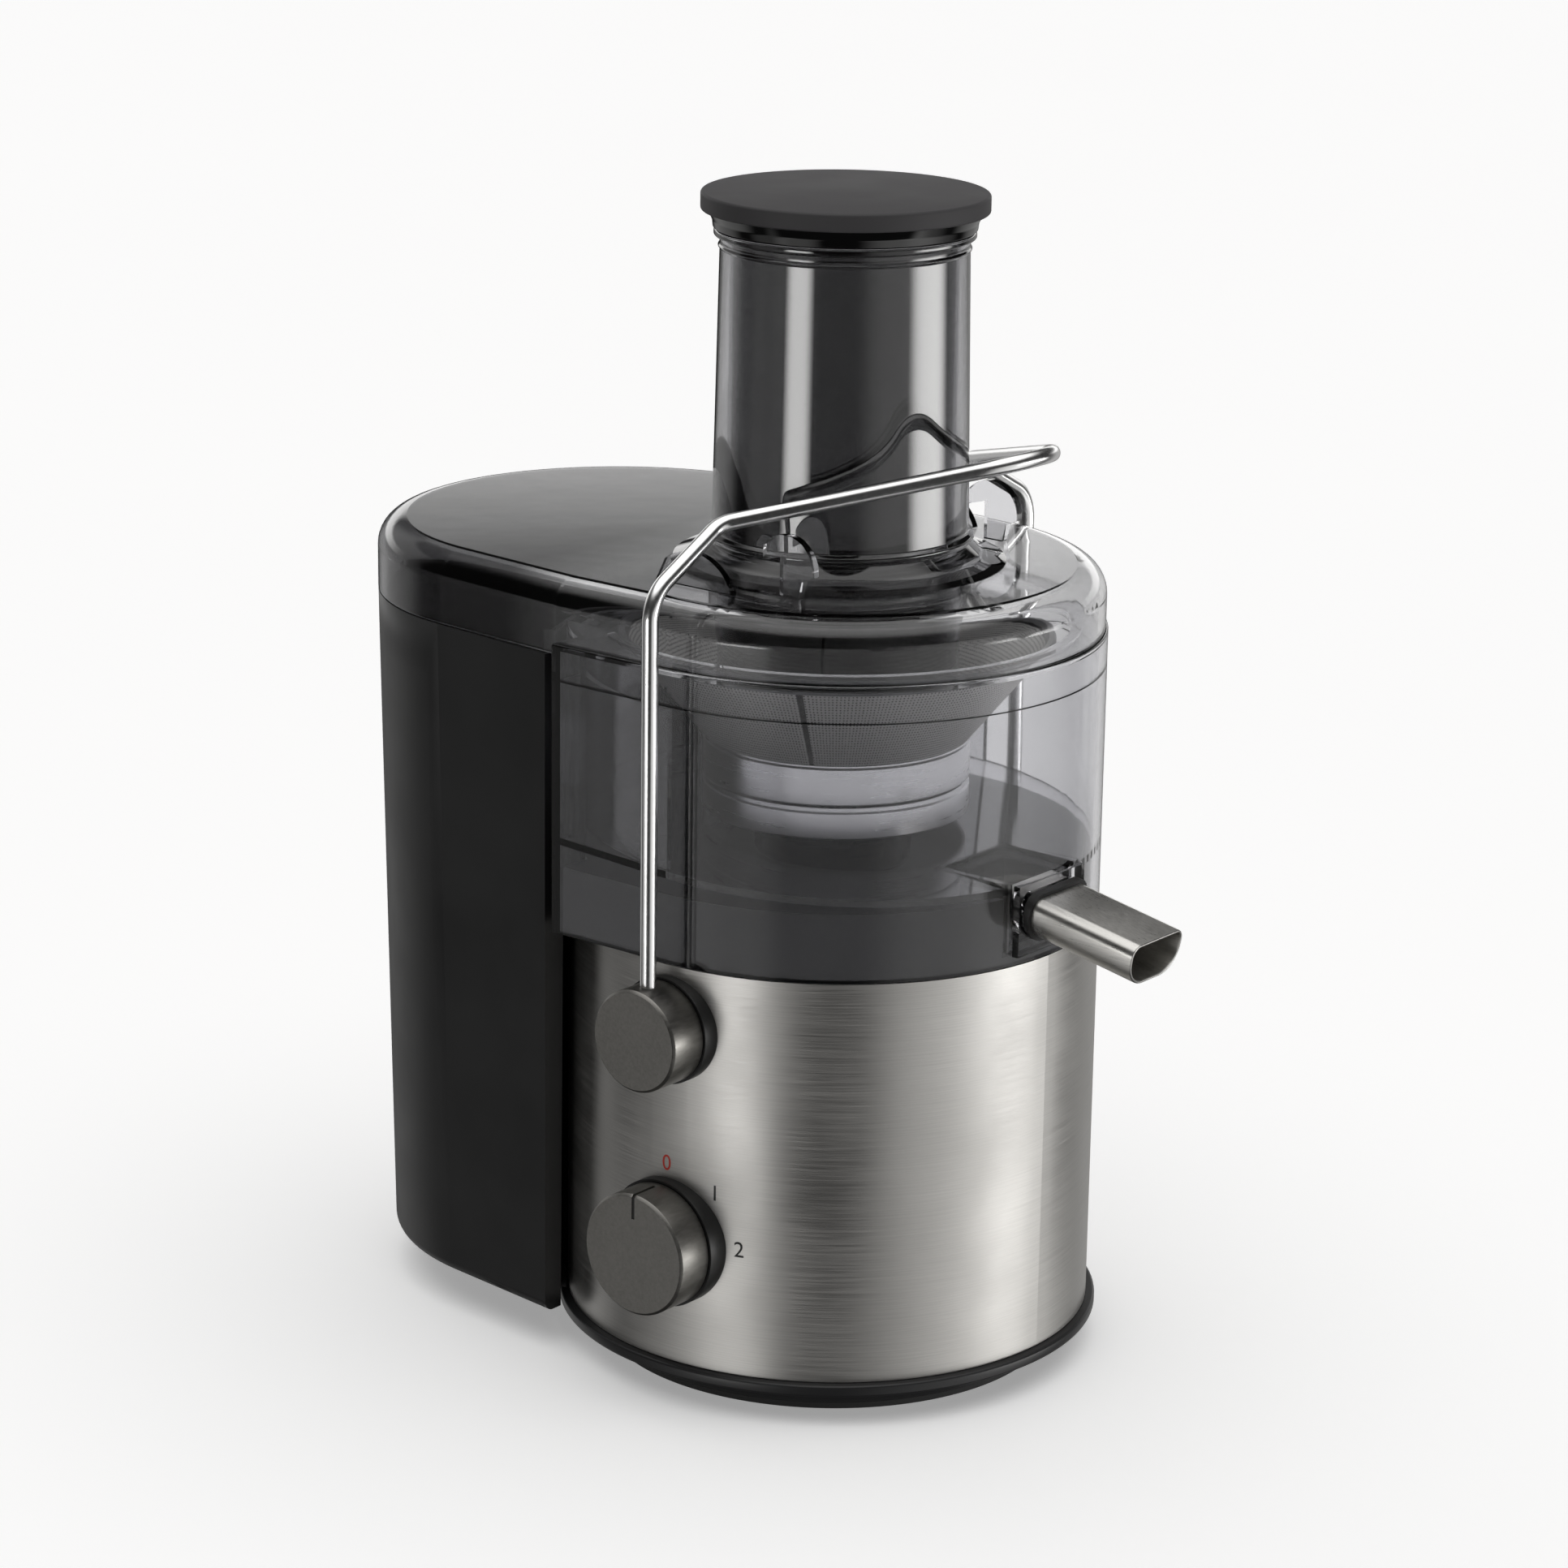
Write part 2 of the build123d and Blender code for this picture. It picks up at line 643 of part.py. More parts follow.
def tube_flare():
    """Flared foot that joins the chute to the round hole in the lid."""
    outer = ThreePointArc((TUBE_R_FOOT, 281), (47.5, 275.7), (FLARE_R, LID_TOP + 0.2))
    inner = ThreePointArc((TUBE_R_FOOT - TUBE_WALL, 279), (45.5, 274.2), (51.2, LID_TOP - WALL + 0.2))
    flare = make_face([
        outer,
        Line((FLARE_R, LID_TOP + 0.2), (FLARE_R, LID_TOP)),
        Line((FLARE_R, LID_TOP), (51.4, LID_TOP)),
        Line((51.4, LID_TOP), (51.2, LID_TOP - WALL + 0.2)),
        inner,
        Line((TUBE_R_FOOT - TUBE_WALL, 279), (TUBE_R_FOOT, 281)),
    ])
    return revolve(Plane.XZ * flare, axis=Axis.Z) - feed_tube()


# ---- pusher --------------------------------------------------------------

def pusher_cap():
    low = CAP_TOP - CAP_RIM_T
    return turned([
        (0, CAP_TOP), (CAP_R - 1.2, CAP_TOP), (CAP_R - 0.3, CAP_TOP - 0.4), (CAP_R, CAP_TOP - 1.3),
        (CAP_R, low + 0.6), (CAP_R - 0.6, low), (45, low), (43.6, TUBE_TOP + 2), (43.2, TUBE_TOP + 0.3),
        (39.2, TUBE_TOP + 0.3), (39.2, low), (34.6, low), (34.6, low - 9), (32.4, low - 9),
        (32.4, low), (0, low),
    ])


def pusher_body():
    low = CAP_TOP - CAP_RIM_T
    return turned([
        (0, PUSHER_BOTTOM), (34.5, PUSHER_BOTTOM), (36.4, PUSHER_BOTTOM + 1.5), (PUSHER_R, low),
        (34.7, low), (34.2, PUSHER_BOTTOM + 3), (0, PUSHER_BOTTOM + 3),
    ])


# ---- pulp container ------------------------------------------------------

def pulp_container():
    """Drafted tub with a concave side that hugs the round body and stands on a ledge."""
    depth = BIN_RIM - BIN_BOTTOM
    outer = extrude(Pos(0, 0, BIN_RIM) * bin_plan(), -depth, taper=BIN_DRAFT)
    outer = fillet(outer.faces().sort_by(Axis.Z)[0].edges().sort_by(Axis.X)[:-1], 4)
    inner = extrude(Pos(0, 0, BIN_RIM + 0.01) * bin_plan(WALL), -(depth - WALL), taper=BIN_DRAFT)
    inner -= disc(BIN_HOLLOW_R + WALL, 0, 300)
    body = outer - disc(BIN_HOLLOW_R, 0, 300) - inner
    body -= block(-110, -56, -64, 64, BOWL_TOP + 2.5, BIN_RIM + 1)
    ledge = ring(BIN_HOLLOW_R + 1, 91.0, BASE_TOP + 0.3, BASE_TOP + 3.3) & block(-100, -62, -66, 66, 0, 30)
    return body + ledge


# ---- filter basket -------------------------------------------------------

def basket_base():
    """Carrier with the lower band and the splined socket."""
    return turned([
        (0, 199), (DRUM_R - 0.3, 199), (DRUM_R, 198.4), (DRUM_R, 188.4), (DRUM_R - 0.4, 188),
        (43.4, 188), (43.4, 197), (17.5, 197.5), (17.5, 187), (13.9, 187), (13.9, 198), (0, 198),
    ])


def basket_drum():
    return turned([
        (0, 199.5), (DRUM_R - 0.6, 199.5), (DRUM_R, 200.2), (DRUM_R, CONE_BOTTOM - 0.3),
        (DRUM_R - 1.2, CONE_BOTTOM - 0.3), (DRUM_R - 1.2, 200.8), (0, 200.8),
    ])


def grater_disc():
    plate = disc(DRUM_R - 1.5, 211.2, 212.2) + disc(10, 200.9, 211.3)
    tooth = Pos(0, 0, 212.1) * Cone(1.3, 0.3, 1.5, align=UP)
    for radius, count in ((12, 8), (20, 14), (28, 20), (36, 26)):
        for s in spread(Pos(radius, 0, 0) * tooth, count, radius * 3):
            plate += s
    return plate


def filter_mesh():
    t = 0.9
    return turned([
        (DRUM_R, CONE_BOTTOM), (CONE_R, CONE_TOP), (CONE_R - t - 0.3, CONE_TOP),
        (DRUM_R - t - 0.3, CONE_BOTTOM),
    ])


def basket_rim():
    return turned([
        (CONE_R - 1.2, CONE_TOP), (CONE_R, CONE_TOP), (CONE_R + 1.6, CONE_TOP - 0.6),
        (CONE_R + 2.4, CONE_TOP + 0.4),
        (CONE_R + 2.4, 247.6), (CONE_R + 1.4, 248.4), (CONE_R, 248.4), (CONE_R - 1.2, 246.5),
    ])


# ---- locking arm ---------------------------------------------------------

def arm_path():
    """Two upright legs, two sloping shoulders and a V-shaped bail with a round tip."""
    centre_x = BAIL_TIP_X - BAIL_TIP_R
    reach = math.hypot(centre_x - ARM_X, BAIL_Y)
    lean = math.atan2(BAIL_Y, centre_x - ARM_X) - math.asin(BAIL_TIP_R / reach)
    apex_run = BAIL_Y / math.tan(lean)
    apex = (ARM_X + apex_run, 0, BAIL_Z + BAIL_SLOPE * apex_run)
    near = [(ARM_X, -LEG_Y, ARM_Z + 7), (ARM_X, -LEG_Y, LEG_TOP), (ARM_X, -BAIL_Y, BAIL_Z)]
    far = [(x, -y, z) for x, y, z in reversed(near)]
    radii = [14, 9, BAIL_TIP_R, 9, 14]
    return FilletPolyline(*near, apex, *far, radius=radii)


def locking_arm():
    path = arm_path()
    section = Plane(origin=path @ 0, z_dir=path % 0) * Circle(ROD_R)
    return sweep(section, path)


def arm_hub(side):
    hub = bar_y(HUB_R, side * HUB_BACK_Y, side * HUB_FACE_Y, ARM_X, ARM_Z)
    face = hub.faces().sort_by(Axis.Y)[-1 if side > 0 else 0]
    hub = chamfer(face.edges(), 0.9)
    hub -= disc(ROD_R, ARM_Z + 7, ARM_Z + 30, ARM_X, side * LEG_Y)
    return hub - bar_y(PIN_R, side * 90, side * 98, ARM_X, ARM_Z)


def arm_pins():
    """Pins that run from each hub through its bush; the near one carries the cam."""
    near = bar_y(PIN_R, -98, -76.8, ARM_X, ARM_Z) + bar_y(3.0, -77, -70.5, ARM_X, ARM_Z)
    far = bar_y(PIN_R, 98, 76.5, ARM_X, ARM_Z) + bar_y(6.5, 77.4, 74, ARM_X, ARM_Z)
    return [near, far]


def main():
    os.makedirs("parts", exist_ok=True)
    save("base_plate", base_plate())
    save("foot_ring", foot_ring())
    save("base_screws", *base_screws())
    save("motor_housing", motor_housing())
    save("steel_sleeve", steel_sleeve())
    save("pivot_bushings", *pivot_bushings())
    save("hub_collars", *[side_collar(s, HUB_R + 0.8, HUB_BACK_Y - 0.4, 7.3, ARM_Z) for s in (-1, 1)])
    save("dial_bezel", side_collar(-1, DIAL_R + 0.9, DIAL_BACK_Y - 0.4, 6.3, DIAL_Z))
    save("cord_gland", cord_gland())
    save("upper_bracket", bolt_holes(upper_bracket(), 120, 130))
    save("lower_bracket", bolt_holes(lower_bracket(), 20, 30))
    save("tie_bolts", *tie_bolts())
    save("motor_mounts", *motor_mounts())
    save("mount_screws", *mount_screws())
    save("upper_bearing", bearing(120.0))
    save("lower_bearing", bearing(25.0))
    save("stator_core", stator_core())
    save("field_windings", *field_windings())
    save("brush_holders", *brush_holders())
    save("carbon_brushes", *carbon_brushes())
    save("shaft_seal", shaft_seal())
    save("motor_shaft", motor_shaft())
    save("rotor_core", rotor_core())
    save("armature_windings", *armature_windings())
    save("commutator", commutator())
    save("cooling_fan", cooling_fan())
    save("drive_coupling", drive_coupling())
    save("speed_switch", speed_switch())
    save("switch_bracket", switch_bracket())
    save("dial_shaft", dial_shaft())
    save("speed_dial", speed_dial())
    save("dial_marker", dial_marker())
    save("interlock_switch", interlock_switch())
    save("interlock_button", interlock_button())
    save("interlock_cam", interlock_cam())
    save("control_board", control_board())
    save("board_posts", *board_posts())
    save("board_parts", *board_parts())
    save("juice_bowl", *juice_bowl())
    save("bowl_floor", bowl_floor())
    save("spout", spout())
    save("spout_seal", spout_seal())
    save("lid_cover", lid_cover())
    save("lid_flange", lid_flange())
    save("lid_lugs", *[lug(side) for lug in (front_lug, saddle_fin) for side in (-1, 1)])
    save("feed_tube", feed_tube())
    save("tube_flare", tube_flare())
    save("pusher_cap", pusher_cap())
    save("pusher_body", pusher_body())
    save("pulp_container", pulp_container())
    save("basket_base", basket_base())
    save("basket_drum", basket_drum())
    save("grater_disc", grater_disc())
    save("filter_mesh", filter_mesh())
    save("basket_rim", basket_rim())
    save("locking_arm", locking_arm())
    save("arm_hub_near", arm_hub(-1))
    save("arm_hub_far", arm_hub(1))
    save("arm_pins", *arm_pins())


main()
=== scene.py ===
import json
import math

import bmesh
import bpy
from mathutils import Matrix, Vector


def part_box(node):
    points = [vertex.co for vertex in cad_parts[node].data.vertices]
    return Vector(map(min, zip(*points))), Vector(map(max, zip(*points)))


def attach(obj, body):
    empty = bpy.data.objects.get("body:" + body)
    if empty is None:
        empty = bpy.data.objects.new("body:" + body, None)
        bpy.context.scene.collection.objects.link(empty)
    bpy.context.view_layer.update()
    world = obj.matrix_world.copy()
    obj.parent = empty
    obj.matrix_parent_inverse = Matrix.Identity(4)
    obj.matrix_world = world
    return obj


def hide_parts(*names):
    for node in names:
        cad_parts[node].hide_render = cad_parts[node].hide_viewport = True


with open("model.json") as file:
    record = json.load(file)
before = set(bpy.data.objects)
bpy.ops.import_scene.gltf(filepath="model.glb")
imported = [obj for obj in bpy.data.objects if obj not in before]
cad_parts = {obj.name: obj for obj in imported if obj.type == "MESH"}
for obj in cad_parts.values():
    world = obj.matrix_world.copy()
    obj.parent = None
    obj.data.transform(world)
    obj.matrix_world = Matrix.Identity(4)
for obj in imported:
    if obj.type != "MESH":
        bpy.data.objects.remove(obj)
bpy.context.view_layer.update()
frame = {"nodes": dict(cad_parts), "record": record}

MM = 0.001
AZIMUTH = math.radians(38)


# ---- materials -----------------------------------------------------------

def new_material(name):
    mat = bpy.data.materials.new(name)
    mat.use_nodes = True
    return mat, mat.node_tree, mat.node_tree.nodes["Principled BSDF"]


def add_node(tree, kind, inputs=(), **settings):
    """One shader node with its settings and inputs; an input given as a socket is linked to it."""
    node = tree.nodes.new(kind)
    for key, value in settings.items():
        setattr(node, key, value)
    for key, value in dict(inputs).items():
        if isinstance(value, bpy.types.NodeSocket):
            tree.links.new(value, node.inputs[key])
        else:
            node.inputs[key].default_value = value
    return node


def object_coords(tree, stretch=(1, 1, 1)):
    """Object coordinates in millimetres, stretched for grain that runs one way."""
    coords = add_node(tree, "ShaderNodeTexCoord")
    scale = tuple(1000 * s for s in stretch)
    return add_node(tree, "ShaderNodeMapping", {0: coords.outputs["Object"], "Scale": scale}).outputs[0]


def noise(tree, vector, scale, detail=3.0, roughness=0.5):
    inputs = {"Vector": vector, "Scale": scale, "Detail": detail, "Roughness": roughness}
    return add_node(tree, "ShaderNodeTexNoise", inputs).outputs["Fac"]


def span(tree, factor, low, high, from_low=0.35, from_high=0.65):
    """A factor spread over a new range of values."""
    inputs = {0: factor, 1: from_low, 2: from_high, 3: low, 4: high}
    return add_node(tree, "ShaderNodeMapRange", inputs).outputs[0]


def tint(tree, factor, low, high):
    """Colour that runs between two tones with the factor."""
    ramp = add_node(tree, "ShaderNodeValToRGB", {0: factor})
    ramp.color_ramp.elements[0].position = 0.3
    ramp.color_ramp.elements[1].position = 0.7
    ramp.color_ramp.elements[0].color = (*low, 1)
    ramp.color_ramp.elements[1].color = (*high, 1)
    return ramp.outputs[0]


def bump(tree, height, strength, distance):
    inputs = {"Height": height, "Strength": strength, "Distance": distance * MM}
    return add_node(tree, "ShaderNodeBump", inputs).outputs[0]


def link(tree, source, shader, socket):
    tree.links.new(source, shader.inputs[socket])


def moulded(name, colour, roughness, grain=2.5, depth=0.02, specular=0.5, coat=0.0):
    """Moulded plastic or rubber: fine texture, with slow changes of tone and sheen."""
    mat, tree, shader = new_material(name)
    coords = object_coords(tree)
    slow = noise(tree, coords, 0.03)
    fine = noise(tree, coords, grain, 4.0)
    darker = [c * 0.88 for c in colour]
    lighter = [c * 1.12 for c in colour]
    link(tree, tint(tree, slow, darker, lighter), shader, "Base Color")
    link(tree, span(tree, slow, roughness * 0.92, roughness * 1.08), shader, "Roughness")
    link(tree, bump(tree, fine, 0.5, depth), shader, "Normal")
    shader.inputs["Specular IOR Level"].default_value = specular
    shader.inputs["Coat Weight"].default_value = coat
    shader.inputs["Coat Roughness"].default_value = 0.15
    return mat


def metal(name, colour, roughness, stretch=(1, 1, 1), grain=0.6, depth=0.004, anisotropy=0.0, axis=None,
          mottle=0.11):
    """Bare metal whose grain is stretched along the way that it was worked."""
    mat, tree, shader = new_material(name)
    coords = object_coords(tree, stretch)
    streak = noise(tree, coords, grain, 5.0, 0.65)
    slow = noise(tree, object_coords(tree), 0.02)
    darker = [c * (1 - mottle) for c in colour]
    lighter = [min(c * (1 + mottle), 1) for c in colour]
    link(tree, tint(tree, streak, darker, lighter), shader, "Base Color")
    mixed = add_node(tree, "ShaderNodeMath", {0: streak, 1: slow}, operation="ADD").outputs[0]
    link(tree, span(tree, mixed, roughness * 0.85, roughness * 1.2, 0.8, 1.2), shader, "Roughness")
    link(tree, bump(tree, streak, 0.35, depth), shader, "Normal")
    shader.inputs["Metallic"].default_value = 1.0
    shader.inputs["Anisotropic"].default_value = anisotropy
    if axis:
        shader.inputs["Anisotropic Rotation"].default_value = 0.25
        tangent = add_node(tree, "ShaderNodeTangent", direction_type="RADIAL", axis=axis)
        link(tree, tangent.outputs[0], shader, "Tangent")
    return mat


def clear(name, colour, roughness, ior=1.49, smoke=None):
    """Clear moulded plastic: faint flow marks in its surface and fine scuffs in its polish.

    With smoke = (colour, x0, x1), the tint runs to that colour between two X stations.
    """
    mat, tree, shader = new_material(name)
    coords = object_coords(tree)
    flow = noise(tree, coords, 0.04, 2.0)
    scuff = noise(tree, object_coords(tree, (1, 1, 0.2)), 0.8, 5.0)
    tone = tint(tree, flow, [c * 0.97 for c in colour], colour)
    if smoke:
        dark, x0, x1 = smoke
        along = add_node(tree, "ShaderNodeSeparateXYZ", {0: coords}).outputs["X"]
        share = span(tree, along, 0.0, 1.0, x0, x1)
        mixed = add_node(tree, "ShaderNodeMix", {0: share, 6: tone, 7: (*dark, 1)}, data_type="RGBA")
        tone = mixed.outputs[2]
    link(tree, tone, shader, "Base Color")
    link(tree, span(tree, scuff, roughness * 0.7, roughness * 1.5), shader, "Roughness")
    link(tree, bump(tree, flow, 0.1, 0.12), shader, "Normal")
    shader.inputs["Transmission Weight"].default_value = 1.0
    shader.inputs["IOR"].default_value = ior
    return mat


MESH_R = 58  # middle radius of the filter's cone


def perforated(name, colour, roughness, pitch=1.1, seam_deg=-62):
    """Etched sheet turned about Z: rows of fine holes round it, drawn as dark dots of painted shade, and one
    welded seam.
    """
    mat, tree, shader = new_material(name)
    parts = add_node(tree, "ShaderNodeSeparateXYZ", {0: object_coords(tree)}).outputs
    turn = add_node(tree, "ShaderNodeMath", {0: parts["Y"], 1: parts["X"]}, operation="ARCTAN2").outputs[0]
    round_mm = add_node(tree, "ShaderNodeMath", {0: turn, 1: MESH_R}, operation="MULTIPLY").outputs[0]
    flat = add_node(tree, "ShaderNodeCombineXYZ", {0: round_mm, 1: parts["Z"]}).outputs[0]
    cells = add_node(tree, "ShaderNodeTexVoronoi", {"Vector": flat, "Scale": 1 / pitch, "Randomness": 0.15})
    # Holes are painted, not cut: near-black dots of painted shade stand for the dark inside seen through
    # them, sunk by a bump.
    hole_shade = span(tree, cells.outputs["Distance"], 1.0, 0.0, 0.2, 0.3)
    seam_turn = math.radians(seam_deg)
    away = add_node(tree, "ShaderNodeMath", {0: turn, 1: seam_turn}, operation="SUBTRACT").outputs[0]
    away = add_node(tree, "ShaderNodeMath", {0: away}, operation="ABSOLUTE").outputs[0]
    seam = span(tree, away, 1.0, 0.0, 0.012, 0.02)
    # dark holds the painted shade of the holes together with the real dark line of the welded seam.
    dark = add_node(tree, "ShaderNodeMath", {0: hole_shade, 1: seam}, operation="MAXIMUM").outputs[0]
    link(tree, tint(tree, dark, colour, [c * 0.12 for c in colour]), shader, "Base Color")
    link(tree, span(tree, dark, roughness, 0.8, 0.0, 1.0), shader, "Roughness")
    link(tree, bump(tree, span(tree, dark, 1.0, 0.0, 0.0, 1.0), 0.6, 0.15), shader, "Normal")
    shader.inputs["Metallic"].default_value = 1.0
    return mat


MATERIALS = {
    "base_black": moulded("base_black", (0.021, 0.021, 0.022), 0.36, specular=0.4),
    "foot_rubber": moulded("foot_rubber", (0.02, 0.02, 0.02), 0.8, grain=1.2, depth=0.05),
    "body_black": moulded("body_black", (0.008, 0.008, 0.01), 0.4, depth=0.006, specular=0.3),
    "trim_black": moulded("trim_black", (0.012, 0.012, 0.012), 0.4),
    "nylon": moulded("nylon", (0.72, 0.7, 0.64), 0.45),
    "seal_rubber": moulded("seal_rubber", (0.015, 0.015, 0.015), 0.5),
    "fan_plastic": moulded("fan_plastic", (0.03, 0.03, 0.035), 0.5),
    "switch_plastic": moulded("switch_plastic", (0.05, 0.05, 0.055), 0.45),
    "button_plastic": moulded("button_plastic", (0.5, 0.06, 0.04), 0.4),
    "marker_black": moulded("marker_black", (0.01, 0.01, 0.01), 0.5),
    "print_red": moulded("print_red", (0.55, 0.035, 0.02), 0.5, depth=0.005),
    "board_green": moulded("board_green", (0.03, 0.16, 0.06), 0.35, coat=0.5),
    "carbon": moulded("carbon", (0.03, 0.03, 0.03), 0.7, grain=4.0),
    "cap_grey": moulded("cap_grey", (0.054, 0.052, 0.055), 0.6, grain=1.6, depth=0.05, specular=0.4),
    "bin_black": moulded("bin_black", (0.021, 0.021, 0.0215), 0.4, grain=2.0, depth=0.03, specular=0.35),
    "rim_plastic": moulded("rim_plastic", (0.16, 0.16, 0.17), 0.3),
    "clear_plastic": clear("clear_plastic", (0.75, 0.75, 0.768), 0.03),
    "lid_plastic": clear("lid_plastic", (0.76, 0.76, 0.765), 0.03, smoke=((0.16, 0.16, 0.165), -40, -72)),
    "tube_plastic": clear("tube_plastic", (0.36, 0.36, 0.37), 0.02, ior=1.62),
    "smoke_plastic": moulded("smoke_plastic", (0.0015, 0.0015, 0.0017), 0.06, depth=0.0, specular=0.9),
    "brushed_steel": metal("brushed_steel", (0.56, 0.55, 0.53), 0.44, (0.03, 0.03, 2.0), 1.2,
                           anisotropy=0.4, axis="Z"),
    "satin_steel": metal("satin_steel", (0.62, 0.61, 0.585), 0.32, (0.03, 1, 1), 2.2, depth=0.0006),
    "gunmetal": metal("gunmetal", (0.25, 0.243, 0.228), 0.38, (1, 0.2, 1), 1.0),
    "polished_steel": metal("polished_steel", (0.72, 0.72, 0.74), 0.3, (0.02, 0.02, 0.5), 1.4, depth=0.0002,
                            mottle=0.03),
    "mesh_steel": perforated("mesh_steel", (0.85, 0.84, 0.83), 0.6),
    "chrome_wire": metal("chrome_wire", (0.9, 0.9, 0.9), 0.22, depth=0.0002, mottle=0.02),
    "bearing_steel": metal("bearing_steel", (0.6, 0.6, 0.6), 0.2),
    "screw_steel": metal("screw_steel", (0.5, 0.5, 0.5), 0.3),
    "core_steel": metal("core_steel", (0.25, 0.25, 0.26), 0.5, (0.05, 0.05, 3)),
    "cast_aluminium": metal("cast_aluminium", (0.55, 0.55, 0.55), 0.5, depth=0.03),
    "copper_wire": metal("copper_wire", (0.55, 0.22, 0.08), 0.35, (0.2, 0.2, 3), 1.5),
    "copper_bar": metal("copper_bar", (0.75, 0.38, 0.2), 0.3),
    "brass_sheet": metal("brass_sheet", (0.7, 0.52, 0.24), 0.35),
}

# CAD nodes whose finish is a variant of their slot's
FINISHES = {"lid_cover": "lid_plastic"}

for subpart in frame["record"]["subparts"]:
    mesh = frame["nodes"][subpart["node"]].data
    mesh.materials.clear()
    finish = FINISHES.get(subpart["node"], subpart["material_slot"])
    mesh.materials.append(MATERIALS[finish])


# ---- mesh building -------------------------------------------------------

SEGMENTS = 192


def new_piece(name, verts, faces, body, slot, material=None, replaces=(), sharp=38):
    """Mesh piece from points in millimetres, smooth but for its sharp edges, riding on a body."""
    mesh = bpy.data.meshes.new(name)
    mesh.from_pydata([tuple(c * MM for c in v) for v in verts], [], faces)
    work = bmesh.new()
    work.from_mesh(mesh)
    bmesh.ops.remove_doubles(work, verts=work.verts, dist=1e-6)
    bmesh.ops.recalc_face_normals(work, faces=work.faces)
    work.to_mesh(mesh)
    work.free()
    mesh.shade_smooth()
    mesh.set_sharp_from_angle(angle=math.radians(sharp))
    mesh.materials.append(MATERIALS[material or slot])
    piece = bpy.data.objects.new(name, mesh)
    bpy.context.scene.collection.objects.link(piece)
    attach(piece, body)
    if replaces:
        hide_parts(*replaces)
    return piece


def rounded(points, closed=True, steps=6):
    """Outline or path with rounded corners, from points that each end in their corner radius."""
    spots = [Vector(p[:-1]) for p in points]
    path = []
    for i, (spot, radius) in enumerate(zip(spots, [p[-1] for p in points])):
        if radius <= 0 or (not closed and i in (0, len(spots) - 1)):
            path.append(tuple(spot))
            continue
        before = (spots[i - 1] - spot).normalized()
        after = (spots[(i + 1) % len(spots)] - spot).normalized()
        half = before.angle(after) / 2
        centre = spot + (before + after).normalized() * (radius / math.sin(half))
        start = spot + before * (radius / math.tan(half)) - centre
        end = spot + after * (radius / math.tan(half)) - centre
        sweep = math.pi - 2 * half
        for k in range(steps + 1):
            share = k / steps
            blend = start * math.sin((1 - share) * sweep) + end * math.sin(share * sweep)
            path.append(tuple(centre + blend / math.sin(sweep)))
    return path


def bridge(first, second):
    """Faces between two rings of vertex numbers; a ring of one is a pole."""
    count = max(len(first), len(second))
    if len(first) == len(second) == 1:
        return []
    if len(first) == 1:
        return [(first[0], second[k], second[(k + 1) % count]) for k in range(count)]
    if len(second) == 1:
        return [(first[k], second[0], first[(k + 1) % count]) for k in range(count)]
    return [(first[k], first[(k + 1) % count], second[(k + 1) % count], second[k]) for k in range(count)]


def loft(rings, closed=True):
    """Vertices and faces of a skin over rings of points; closed joins the last ring to the first."""
    verts = []
    numbers = []
    for ring_points in rings:
        numbers.append(list(range(len(verts), len(verts) + len(ring_points))))
        verts += ring_points
    faces = []
    for first, second in zip(numbers, numbers[1:] + (numbers[:1] if closed else [])):
        faces += bridge(first, second)
    return verts, faces


def circle(radius, z, segments=SEGMENTS):
    if radius < 1e-6:
        return [(0, 0, z)]
    turn = 2 * math.pi / segments
    return [(radius * math.cos(k * turn), radius * math.sin(k * turn), z) for k in range(segments)]


def lathe(outline, place=None, segments=SEGMENTS, closed=True):
    """Vertices and faces of an outline of (radius, height) turned about Z, then moved by a matrix."""
    verts, faces = loft([circle(r, z, segments) for r, z in outline], closed)
    if place:
        verts = [tuple(place @ Vector(v)) for v in verts]
    return verts, faces


def tube(path, radius, segments=24):
    """Round rod along a path, with domed ends."""
    spots = [Vector(p) for p in path]
    ways = [(b - a).normalized() for a, b in zip(spots, spots[1:])]
    ways = [ways[0]] + [(a + b).normalized() for a, b in zip(ways, ways[1:])] + [ways[-1]]
    side = ways[0].orthogonal().normalized()
    rings = []
    for spot, way in zip(spots, ways):
        side = (side - way * side.dot(way)).normalized()
        other = way.cross(side)
        rings.append([tuple(spot + radius * (math.cos(a) * side + math.sin(a) * other))
                      for a in (2 * math.pi * k / segments for k in range(segments))])
    return loft([[tuple(spots[0])]] + rings + [[tuple(spots[-1])]], closed=False)


# ---- pieces --------------------------------------------------------------

def extent(node):
    """Lowest and highest corner of a CAD node at rest, in millimetres."""
    return [[c / MM for c in corner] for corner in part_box(node)]


def soften(node, width):
    """Rounds the hard edges of a CAD node."""
    modifiers = frame["nodes"][node].modifiers
    weld = modifiers.new("weld", "WELD")
    weld.merge_threshold = 1e-5
    bevel = modifiers.new("bevel", "BEVEL")
    bevel.width = width * MM
    bevel.segments = 2
    bevel.limit_method = "ANGLE"
    bevel.angle_limit = math.radians(40)


# Pusher and cap; each drop is below the cap's top
CAP_RIM_DROP = 6.0
CAP_UNDER = 5.6
CAP_RIM_R = 45.6
CAP_SPIGOT_R = (32.4, 34.6)
CAP_SPIGOT_DROP = 15.0
CAP_NECK_DROP = 11.7
CAP_NECK_R = 39.2
PUSHER_BORE_R = (34.2, 34.7)
PUSHER_FLOOR_T = 3.0


